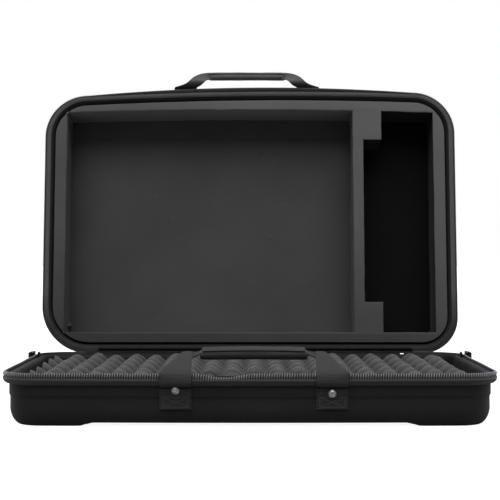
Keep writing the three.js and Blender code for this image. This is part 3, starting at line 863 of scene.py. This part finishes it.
def build_foam():
    outer = [tuple(p) for p in outline(FOAM_INSET, "upper")]
    main = hand_cut(rectangle(-SIDE, NEAR, DIVIDER_LEFT, FAR), 1)
    recess = hand_cut([
        (BLOCK_RIGHT, NEAR), (SIDE, NEAR), (SIDE, FAR), (BLOCK_RIGHT, FAR),
        (BLOCK_RIGHT, FAR - BLOCK_LENGTH), (DIVIDER_RIGHT, FAR - BLOCK_LENGTH),
        (DIVIDER_RIGHT, NEAR + BLOCK_LENGTH), (BLOCK_RIGHT, NEAR + BLOCK_LENGTH)], 2)
    points, faces = extruded([outer, main, recess], FOAM_END - FOAM_FACE, FOAM_BEVEL)
    points[:, 2] += (FOAM_FACE + FOAM_END) / 2
    near_rim = (np.abs(points[:, 0]) > SIDE + 6 * MM) | (points[:, 1] > FAR + 6 * MM)
    near_rim |= points[:, 1] < NEAR - 6 * MM
    deep = points[:, 2] > FOAM_END / 2
    shrink = FOAM_BACK_INSET - FOAM_INSET
    for i in np.where(near_rim & deep)[0]:
        x, y = points[i, :2]
        points[i, 0] = x * (1 - shrink / HALF_WIDTH)
        points[i, 1] = y * (1 - shrink / BACK)
    # Painted light and shade, 0.5 being the foam's own tone: the face darkens towards its bottom and
    # its left, the cut walls are darker, those of the side compartment nearly black as painted shadow,
    # and the top wall of the main compartment is lighter, as painted light.
    cut_side = points[:, 2] > FOAM_FACE + FOAM_BEVEL * 0.9
    in_side = (points[:, 0] > DIVIDER_RIGHT - 1 * MM) & (points[:, 0] < SIDE + 1 * MM)
    in_side &= (points[:, 1] > NEAR - 1 * MM) & (points[:, 1] < FAR + 1 * MM)
    falling = np.interp(points[:, 1], [NEAR, 0, FAR], [0.52, 0.46, 0.3])
    face = falling * np.interp(points[:, 0], [-SIDE, 0, SIDE], [0.78, 1, 1.05])
    wall = np.interp(points[:, 1], [NEAR + 2 * MM, NEAR + 12 * MM], [0.85, 0.4])
    shade = np.where(cut_side, np.where(in_side, 0.02, wall), face)
    add(
        "cut_foam", place_upper(points), faces, FOAM, "surround_foam", "upper_half",
        ["foam_surround"], sharp=30, shade=shade)

    build_floor("compartment_floor", -SIDE - 1 * MM, DIVIDER_LEFT + 3 * MM, FLOOR_SHEET)
    build_floor("side_compartment_floor", DIVIDER_LEFT + 3.5 * MM, SIDE + 1 * MM, SHADED_SIDE_FLOOR)


def build_floor(name, left, right, material):
    """The smooth sheet at the bottom of a compartment, a little uneven."""
    grid = np.array([
        [(x, y, FLOOR_DEPTH + noise.noise(Vector((x * 12, y * 12, 9.1))) * 0.5 * MM)
         for x in np.linspace(left, right, 60)]
        for y in np.linspace(NEAR - 1 * MM, FAR + 1 * MM, 56)])
    points, faces, cloth = sheet(grid, FLOOR_THICKNESS)
    add(
        name, place_upper(points), faces, material, "floor_sheet", "upper_half",
        ["foam_floor_sheet"], cloth=cloth)


# --- handles ---

LEG_INNER = 74 * MM
LEG_WIDTH = {"lower": 38 * MM, "upper": 33 * MM}
WEB_THICKNESS = 2 * MM
HANDLE_REACH = 56 * MM
LEAN = {"lower": math.radians(-64), "upper": math.radians(22)}
FOLD_START = 6 * MM  # where the outer edge of a lower leg starts to fold in
FOLD_FLAT = 11 * MM  # width of a lower leg that goes straight up into the grip
GRIP_LENGTH = {"lower": 130 * MM, "upper": 118 * MM}
ANCHOR_REACH = {"lower": 43 * MM, "upper": 40 * MM}
GRIP_SIZE = {"lower": (16 * MM, 14.2 * MM), "upper": (14.2 * MM, 11.4 * MM)}  # height, thickness
GRIP_DROP = {"lower": 2.5 * MM, "upper": 1 * MM}  # how far the grip hangs behind its webbing
GRIP_ROUNDING = 0.8  # 1 is an ellipse, and less is squarer
WEB_COLUMNS = 15
RIVET_HEIGHT = {-1: 20.5 * MM, 1: 24 * MM}  # on the left and right leg, from the parting plane


def handle_axes(side):
    """(hinge point, across, out, up) of a handle at rest in the row frame."""
    origin = np.array(JOINTS[f"{side}_handle_swing"]["pos_m"])
    lean = LEAN[side]
    up = np.array([0, -math.sin(lean), math.cos(lean)])
    out = np.array([0, -math.cos(lean), -math.sin(lean)])
    if side == "upper":
        up, out = turn_upper([up])[0], turn_upper([out])[0]
    return origin, np.array([1.0, 0, 0]), out, up


def anchor_path(side):
    """(y, h) of the sewn webbing's middle, from its end on the wall to the handle's hinge line."""
    base = BASE[side]
    sit = WEB_THICKNESS / 2 + 0.15 * MM
    heights = np.linspace(ANCHOR_REACH[side], 29 * MM, 6)
    path = [(FRONT + wall_inset(h, base) - sit, h) for h in heights]
    path += [(FRONT + BAND_INSET - sit - 0.1 * MM, h * MM) for h in (26.5, 24, 21, 18.5)]
    hinge = -4.2 if side == "lower" else -5.2
    over = [(8.1, 16.6), (5.6, 15.6), (2.6, 14.6), (0.0, 13.2), (-1.6, 11.2), (-2.4, 8.8),
            ((hinge - 2.6) / 2, 6.2), (hinge, 3.6)]
    path += [(FRONT + i * MM, h * MM) for i, h in over]
    return np.array(path)


def lower_leg_rows(local, v, x, end):
    """The free leg up to its diagonal fold, round the fold, and along to the end of the grip."""
    start, width = FOLD_START, LEG_WIDTH["lower"]
    rise = np.minimum(1, (1 - v) * width / (width - FOLD_FLAT))
    fold = start + (HANDLE_REACH - start) * (1.08 * rise - 0.08 * rise**2) + 1.5 * MM * (1 - v)
    rows = []
    for u in np.linspace(0.08, 0.965, 22):
        belly = 1.6 * MM * math.sin(u * math.pi)
        rows.append(local(x, np.full(WEB_COLUMNS, belly), u * fold))
    gap = 2.6 * MM
    top = 0.965 * fold
    for step in range(1, 5):
        angle = step / 5 * math.pi
        drop = gap / 2 * (1 - math.cos(angle))
        bulge = gap / 2 * math.sin(angle)
        rows.append(local(x + bulge * 0.5, np.full(WEB_COLUMNS, -drop), top + bulge))
    end_z = HANDLE_REACH + (0.5 - v) * 8 * MM
    for u in np.linspace(0.06, 1, 16):
        ease = u * u * (3 - 2 * u)
        px = x + (end - x) * u
        pz = top + (end_z - top) * (0.35 * u + 0.65 * ease)
        pn = -gap + gap * ease + 1.2 * MM * math.sin(u * math.pi) * (v - 0.5)
        rows.append(local(px, pn, pz))
    return rows


def upper_leg_rows(local, v, x, end):
    """The free leg in one diagonal to the end of the grip, turning a little on its way."""
    end_z = HANDLE_REACH + (v - 0.55) * 11 * MM
    rows = []
    for u in np.linspace(0.04, 1, 34):
        swing = math.sin(u * math.pi)
        px = x + (end - x) * u**1.15 + 2 * MM * swing * v
        pz = end_z * u**0.85
        pn = 1.5 * MM * swing * (1 + v) + (v - 0.5) * 10 * MM * u
        rows.append(local(px, pn, pz))
    return rows


def build_leg(side, hand):
    """One end of a handle in one piece: sewn webbing, the free leg, and on into the grip. hand is -1
    for the left leg and 1 for the right one."""
    origin, across, out, up = handle_axes(side)
    v = np.linspace(0, 1, WEB_COLUMNS)
    v = 0.5 - 0.5 * np.cos(v * math.pi) * 0.35 + (v - 0.5) * 0.65
    width = LEG_WIDTH[side]
    middle_x = origin[0] + hand * (LEG_INNER + width / 2)
    x = LEG_INNER + width * v
    path = anchor_path(side)
    rows = []
    folded_x = LEG_INNER - 12 * MM + (width - 10 * MM) * v
    for y, h in path:
        lean_in = np.interp(h, [3.6 * MM, 12 * MM], [1, 0]) ** 1.3 if side == "upper" else 0
        points = np.column_stack([
            origin[0] + hand * (x + (folded_x - x) * lean_in), np.full(WEB_COLUMNS, y),
            np.full(WEB_COLUMNS, h)])
        rows.append(PLACE[side](points))
    hinge_row = len(rows)

    def local(px, pn, pz):
        return (origin + np.outer(hand * px, across) + np.outer(pn, out) + np.outer(pz, up))

    end = GRIP_LENGTH[side] / 2 - 7 * MM
    if side == "lower":
        rows += lower_leg_rows(local, v, x, end)
    else:
        rows += upper_leg_rows(local, v, folded_x, end)
    grid = np.array(rows)
    for _ in range(4):
        first, last = hinge_row - 3, hinge_row + 4
        middle = (grid[first - 1:last - 1] + 2 * grid[first:last] + grid[first + 1:last + 1]) / 4
        grid[first:last] = middle
    if side == "upper":
        loop = np.linspace(-1, 1, 5)[:, None, None]
        grid[hinge_row - 2:hinge_row + 3] += (1 - loop**2) * 0.8 * MM * turn_upper([[0, -0.3, -1]])[0]
    points, faces, cloth = sheet(grid, WEB_THICKNESS)
    # Darker where sewn on the wall, as a dark patch covers the webbing there. The upper handle's free
    # webbing is twice as light as the lower's: painted light where it catches the light.
    sewn = [0.1 if h > 13 * MM else 0.5 for _, h in path]
    row_shade = np.array(sewn + [0.5 if side == "lower" else 1.0] * (len(grid) - len(sewn)))
    shade = np.resize(np.repeat(row_shade, WEB_COLUMNS), len(points))
    stands_for = [f"{side}_handle_anchor_{HAND[hand]}"]
    if hand > 0:
        stands_for.append(f"{side}_handle_strap")
    leg = add(
        f"{side}_webbing_{HAND[hand]}", points, faces, WEBBING, "webbing", stands_for=stands_for,
        cloth=cloth, shade=shade)
    if side == "lower":
        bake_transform(leg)
    else:
        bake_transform(leg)
    build_box_stitches(side, hand, middle_x, path)
    build_rivet(side, hand, middle_x)


def build_box_stitches(side, hand, middle, path):
    """A box of stitches with a cross in it, near the sewn end of the webbing."""
    low = 28.8 * MM
    high = ANCHOR_REACH[side] - 2.6 * MM
    half = 15 * MM
    corners = [(-half, low), (half, low), (half, high), (-half, high)]
    lines = list(zip(corners, corners[1:] + corners[:1]))
    lines += [(corners[0], corners[2]), (corners[1], corners[3])]
    order = np.argsort(path[:, 1])
    origins, axes = [], []
    for (x0, h0), (x1, h1) in lines:
        length = math.hypot(x1 - x0, h1 - h0)
        count = max(2, round(length / (3.1 * MM)))
        for step in range(count):
            t = (step + 0.5) / count
            x, h = x0 + (x1 - x0) * t, h0 + (h1 - h0) * t
            y = np.interp(h, path[order, 1], path[order, 0]) - WEB_THICKNESS / 2
            origins.append((middle + x, y, h))
            along = np.array([(x1 - x0) / length, 0, (h1 - h0) / length])
            axes.append([along, [0, -1, 0], np.cross(along, [0, -1, 0])])
    stitch, faces = tube(np.array([
        (-1.1, -0.4, 0), (-0.7, 0.1, 0), (0.7, 0.1, 0), (1.1, -0.4, 0)]) * MM, 0.36 * MM, 5)
    points, faces = repeat(stitch, faces, np.array(origins), np.array(axes))
    add_to_half(side, f"box_stitches_{HAND[hand]}", points, faces, DARK_THREAD, "webbing", sharp=None)


def build_rivet(side, hand, x):
    """A domed rivet head with a turned-down edge, on the webbing."""
    y = FRONT + BAND_INSET - WEB_THICKNESS - 0.3 * MM
    h = RIVET_HEIGHT[hand]
    section = [(0, 2.6), (1.6, 2.5), (3.1, 2.2), (4.2, 1.6), (4.9, 0.8), (5.1, 0.1), (5, -0.4)]
    sides = 28
    points = []
    for radius, lift in section[1:]:
        angle = np.arange(sides) / sides * 2 * math.pi
        points.append(np.column_stack([
            x + radius * MM * np.cos(angle), np.full(sides, y - lift * MM),
            h + radius * MM * np.sin(angle)]))
    points = np.vstack(points)
    faces = grid_faces(len(section) - 1, sides, wrap_columns=True)
    last = (len(section) - 2) * sides
    faces.append(tuple(range(last, last + sides)))
    crown = len(points)
    points = np.vstack([points, [[x, y - section[0][1] * MM, h]]])
    faces += [(crown, i, (i + 1) % sides) for i in range(sides)]
    add_to_half(side, f"rivet_head_{HAND[hand]}", points, faces, RIVET, "rivet_metal",
                [f"rivet_{HAND[hand]}"], sharp=60)


def bar_points(length, height, thickness, steps=24, around=24):
    """A closed rounded bar along X with pulled-in ends, as points and faces."""
    angle = np.arange(around) / around * 2 * math.pi
    c, s = np.cos(angle), np.sin(angle)
    rows = []
    for t in np.linspace(-1, 1, steps + 1):
        size = 1 - 0.12 * abs(t) ** 6
        n = np.sign(c) * np.abs(c) ** GRIP_ROUNDING * thickness / 2 * size
        z = np.sign(s) * np.abs(s) ** GRIP_ROUNDING * height / 2 * size
        rows.append(np.column_stack([np.full(around, t * length / 2), n, z]))
    points = np.vstack(rows)
    faces = grid_faces(steps + 1, around, wrap_columns=True)
    faces.append(tuple(range(around)))
    faces.append(tuple(reversed(range(steps * around, (steps + 1) * around))))
    return points, faces


PUFF_VOXEL = 1.9 * MM
PUFF_PRESSURE = 4
PUFF_CAP = 1.1 * MM
CLOTH_FRAMES = 20


def puff(obj):
    """Swells a closed mesh as padded cloth, with no point moving further than PUFF_CAP."""
    bpy.context.view_layer.objects.active = obj
    remesh = obj.modifiers.new("Remesh", "REMESH")
    remesh.mode = "VOXEL"
    remesh.voxel_size = PUFF_VOXEL
    bpy.ops.object.modifier_apply(modifier=remesh.name)
    start = np.array([v.co for v in obj.data.vertices])
    scene = bpy.context.scene
    cloth = obj.modifiers.new("Cloth", "CLOTH")
    cloth.settings.use_pressure = True
    cloth.settings.uniform_pressure_force = PUFF_PRESSURE
    cloth.settings.effector_weights.gravity = 0
    cloth.settings.quality = 5
    cloth.point_cache.frame_start = 1
    cloth.point_cache.frame_end = CLOTH_FRAMES
    for number in range(1, CLOTH_FRAMES + 1):
        scene.frame_set(number)
    evaluated = obj.evaluated_get(bpy.context.evaluated_depsgraph_get())
    swollen = np.array([v.co for v in evaluated.data.vertices])
    move = swollen - start
    reach = np.linalg.norm(move, axis=1)[:, None]
    move *= np.minimum(1, PUFF_CAP / np.maximum(reach, 1e-9))
    obj.modifiers.remove(cloth)
    scene.frame_set(1)
    obj.data.vertices.foreach_set("co", (start + move).ravel())
    obj.data.update()


def build_grip(side):
    origin, across, out, up = handle_axes(side)
    length = GRIP_LENGTH[side]
    height, thickness = GRIP_SIZE[side]
    points, faces = bar_points(length, height - 1.6 * MM, thickness - 1.4 * MM)
    mesh = bpy.data.meshes.new("grip")
    mesh.from_pydata(points.tolist(), [], faces)
    obj = bpy.data.objects.new(f"{side}_grip", mesh)
    bpy.context.scene.collection.objects.link(obj)
    puff(obj)
    points = np.array([v.co for v in obj.data.vertices])
    faces = [tuple(p.vertices) for p in obj.data.polygons]
    bpy.data.objects.remove(obj)

    def into_place(local):
        bent = HANDLE_REACH + local[:, 2] + 2 * MM * (1 - (2 * local[:, 0] / length) ** 2)
        sunk = GRIP_DROP[side]
        return (origin + np.outer(local[:, 0], across) + np.outer(local[:, 1] - sunk, out)
                + np.outer(bent - sunk, up))

    grip = add(f"{side}_grip", into_place(points), faces, GRIP[side], "grip_fabric",
               f"{side}_handle", [f"{side}_grip_wrap", f"{side}_grip_core"], sharp=None)
    bpy.context.view_layer.objects.active = grip
    smooth = grip.modifiers.new("Subdivision", "SUBSURF")
    smooth.levels = smooth.render_levels = 1
    bpy.ops.object.modifier_apply(modifier=smooth.name)

    rows = []
    for angle in np.radians(np.linspace(-28, 150, 20)):
        c, s = math.cos(angle), math.sin(angle)
        n = np.sign(c) * abs(c) ** GRIP_ROUNDING * (thickness / 2 + 0.5 * MM)
        z = np.sign(s) * abs(s) ** GRIP_ROUNDING * (height / 2 + 0.5 * MM)
        row = []
        for x in np.linspace(-length / 2 + 3 * MM, length / 2 - 3 * MM, 44):
            ripple = noise.noise(Vector((x * 60, angle * 2, 5.5))) * 0.35 * MM
            row.append((x, n + ripple * c, z + ripple * s))
        rows.append(row)
    points, faces, cloth = sheet(np.array(rows), 1.3 * MM)
    add(f"{side}_grip_flap", into_place(points), faces, GRIP[side], "grip_fabric", f"{side}_handle",
        cloth=cloth)


# --- hinge cloth, zip end tabs, sliders ---


HINGE_THICKNESS = 1.1 * MM


def build_hinge():
    """The cloth at the back: one piece up to midway between its two creases, and one that turns back
    along the lid at the upper crease.
    """
    half = (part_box("hinge_strip")[1].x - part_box("hinge_strip")[0].x) / 2
    y = CREASE[1]
    low_crease = JOINTS["lid_lean_back"]["pos_m"][2]
    middle = (low_crease + CREASE[2]) / 2
    columns = np.linspace(-half, half, 120)

    def rows_of(pairs):
        return np.array([[(x, py, pz) for x in columns] for py, pz in pairs])

    flap_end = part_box("hinge_flap_lower")[0].z
    grid = rows_of([(y, z) for z in np.linspace(flap_end, middle + 0.2 * MM, 20)])
    points, faces, cloth = sheet(grid, HINGE_THICKNESS)
    lower = add("hinge_cloth_lower", points, faces, SHADED_HINGE_CLOTH, "binding_fabric",
                stands_for=["hinge_flap_lower", "hinge_strip"], cloth=cloth)
    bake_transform(lower)

    rise = [(y, z) for z in np.linspace(middle - 0.2 * MM, CREASE[2] - 1.2 * MM, 6)]
    outward = turn_upper([[0, 0, 1]])[0]
    back = [(y + outward[1] * d * MM, CREASE[2] + outward[2] * d * MM)
            for d in (1.2, 3, 5, 7.5, 10, 12, 14)]
    corner = [(y + 0.25 * MM, CREASE[2] - 0.3 * MM)]
    points, faces, cloth = sheet(rows_of(rise + corner + back), HINGE_THICKNESS)
    upper = add("hinge_cloth_upper", points, faces, SHADED_HINGE_CLOTH, "binding_fabric",
                stands_for=["hinge_flap_upper"], cloth=cloth)
    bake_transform(upper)


def build_end_tab(place):
    low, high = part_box(f"zip_end_tab_{place}")
    rows = []
    for t in np.linspace(0, 1, 12):
        pull_in = 1.2 * MM * (2 * t - 1) ** 4
        puffed = 0.5 * MM * math.sin(t * math.pi)
        rows.append([
            (x, (low.y + high.y) / 2 + puffed, low.z + (high.z - low.z) * t)
            for x in np.linspace(low.x + pull_in, high.x - pull_in, 14)])
    points, faces, cloth = sheet(np.array(rows), 1.1 * MM)
    add(f"zip_end_cover_{place}", points, faces, TAPE["lower"], "zip_tape", "lower_half",
        [f"zip_end_tab_{place}"], cloth=cloth)


def finish_cad_nodes():
    """Small hard parts that stay as CAD: softened edges and their own finish."""
    for name, node in frame["nodes"].items():
        hard = "slider" in name or "pull" in name
        if not hard and "washer" not in name:
            continue
        node.data.materials.clear()
        node.data.materials.append(SLIDER if hard else RIVET)
        bevel = node.modifiers.new("Bevel", "BEVEL")
        bevel.width = 0.35 * MM
        bevel.segments = 2
        bevel.limit_method = "ANGLE"


# --- stage ---


FLOOR_GLOW = 0.93  # seen by the camera only
SKY_FRONT = 0.17  # the sky's strength on the camera's side
SKY_BEHIND = 1.1
SUN_ENERGY = 3.6
SUN_ANGLE = math.radians(60)
SUN_DIRECTION = (0.05, 0.5, -0.87)
CAMERA_PLACE = (0, -2.032, 0.2095)
CAMERA_LENS = 112
CAMERA_SHIFT = -0.006


def build_floor_plane():
    bpy.ops.mesh.primitive_plane_add(size=30, location=(0, 0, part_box("lower_shell")[0].z))
    ground = bpy.context.object
    ground.name = "studio_floor"
    pale = Finish("studio_floor", 0.8)
    faint = pale.noise(3, 3)
    pale.set("Base Color", pale.ramp(faint, 0.3, 0.7, grey(0.3, cool=0), grey(0.34, cool=0)))
    seen = pale.nodes.new("ShaderNodeLightPath").outputs["Is Camera Ray"]
    pale.set("Emission Color", (1, 1, 1, 1))
    pale.set("Emission Strength", pale.math("MULTIPLY", seen, FLOOR_GLOW))
    ground.data.materials.append(pale.material)


def build_sky():
    """A sky that lights the case mostly from behind, and is white to the camera."""
    world = bpy.data.worlds.new("studio")
    bpy.context.scene.world = world
    world.use_nodes = True
    nodes, links = world.node_tree.nodes, world.node_tree.links
    background = nodes["Background"]
    background.inputs["Color"].default_value = (1, 1, 1, 1)
    split = nodes.new("ShaderNodeSeparateXYZ")
    links.new(nodes.new("ShaderNodeTexCoord").outputs["Generated"], split.inputs[0])
    behind = nodes.new("ShaderNodeMapRange")
    links.new(split.outputs["Y"], behind.inputs["Value"])
    behind.inputs["From Min"].default_value = -0.1
    behind.inputs["From Max"].default_value = 0.6
    behind.inputs["To Min"].default_value = SKY_FRONT
    behind.inputs["To Max"].default_value = SKY_BEHIND
    strength = nodes.new("ShaderNodeMapRange")
    path = nodes.new("ShaderNodeLightPath")
    links.new(path.outputs["Is Camera Ray"], strength.inputs["Value"])
    links.new(behind.outputs[0], strength.inputs["To Min"])
    strength.inputs["To Max"].default_value = 1.0
    links.new(strength.outputs[0], background.inputs["Strength"])


def build_stage():
    scene = bpy.context.scene
    scene.view_settings.view_transform = "Standard"
    build_floor_plane()
    build_sky()

    light = bpy.data.lights.new("soft_sun", "SUN")
    light.energy = SUN_ENERGY
    light.angle = SUN_ANGLE
    sun = bpy.data.objects.new("soft_sun", light)
    sun.rotation_euler = Vector(SUN_DIRECTION).to_track_quat("-Z", "Y").to_euler()
    scene.collection.objects.link(sun)

    camera = bpy.data.cameras.new("camera")
    camera.lens = CAMERA_LENS
    camera.sensor_width = 36
    camera.shift_y = CAMERA_SHIFT
    camera.clip_end = 60
    obj = bpy.data.objects.new("camera", camera)
    obj.location = CAMERA_PLACE
    obj.rotation_euler = (math.pi / 2, 0, 0)
    scene.collection.objects.link(obj)
    scene.camera = obj


for half_name in ("lower", "upper"):
    build_shell(half_name)
    build_rim(half_name)
    for leg_hand in (-1, 1):
        build_leg(half_name, leg_hand)
    build_grip(half_name)
build_pad()
build_foam()
build_hinge()
for tab_place in ("left", "right"):
    build_end_tab(tab_place)
finish_cad_nodes()
build_stage()
